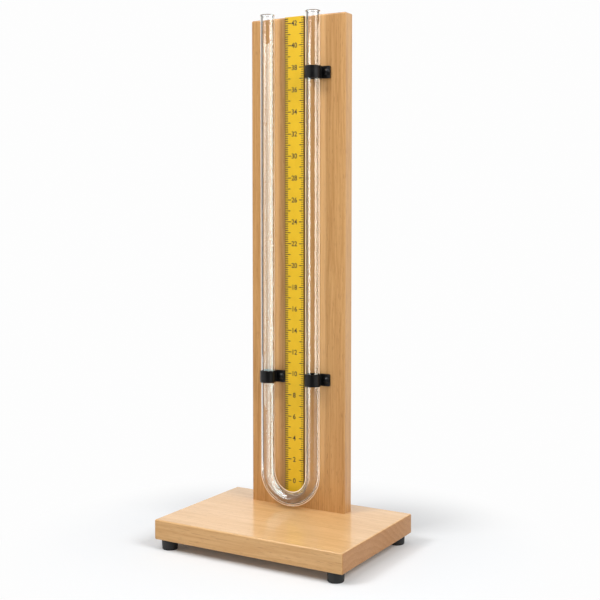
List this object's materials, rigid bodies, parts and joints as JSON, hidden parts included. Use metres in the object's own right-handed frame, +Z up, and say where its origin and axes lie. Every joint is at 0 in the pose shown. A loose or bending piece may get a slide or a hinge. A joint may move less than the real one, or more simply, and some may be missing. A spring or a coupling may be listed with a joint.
{
  "type": "u tube manometer",
  "caption": "Bench U tube manometer: a glass U tube clipped to an upright wooden board with a yellow graduated strip between its limbs, on a footed wooden base.",
  "frame": {"origin": "on the bench surface, below the middle of the base board", "axes": "+Z up along the board and the tube's limbs, +Y to the back, +X to the right as seen from the scale's side"},
  "size_m": [0.19, 0.133, 0.4794],
  "materials": {
    "varnished_wood": "pale varnished beech, satin to gloss",
    "clear_glass": "clear drawn glass, fire-polished mouths",
    "yellow_strip": "yellow printed strip with plain dark graduations and numbers",
    "black_clip": "satin black coated strap",
    "black_screw": "blackened steel, slightly glossier than the clips",
    "black_rubber": "moulded black rubber",
    "zinc_steel": "zinc plated"
  },
  "bodies": {
    "root": {"base_board": "varnished_wood", "back_board": "varnished_wood", "u_tube": "clear_glass", "scale_strip": "yellow_strip", "tube_clip_lower_left": "black_clip", "tube_clip_lower_right": "black_clip", "tube_clip_upper_right": "black_clip", "clip_screw_lower_left": "black_screw", "clip_screw_lower_right": "black_screw", "clip_screw_upper_right": "black_screw", "rubber_foot_front_left": "black_rubber", "rubber_foot_front_right": "black_rubber", "rubber_foot_back_left": "black_rubber", "rubber_foot_back_right": "black_rubber", "foot_washer_front_left": "zinc_steel", "foot_washer_front_right": "zinc_steel", "foot_washer_back_left": "zinc_steel", "foot_washer_back_right": "zinc_steel", "foot_screw_front_left": "zinc_steel", "foot_screw_front_right": "zinc_steel", "foot_screw_back_left": "zinc_steel", "foot_screw_back_right": "zinc_steel", "board_screw_left": "zinc_steel", "board_screw_middle": "zinc_steel", "board_screw_right": "zinc_steel"}
  },
  "joints": []
}
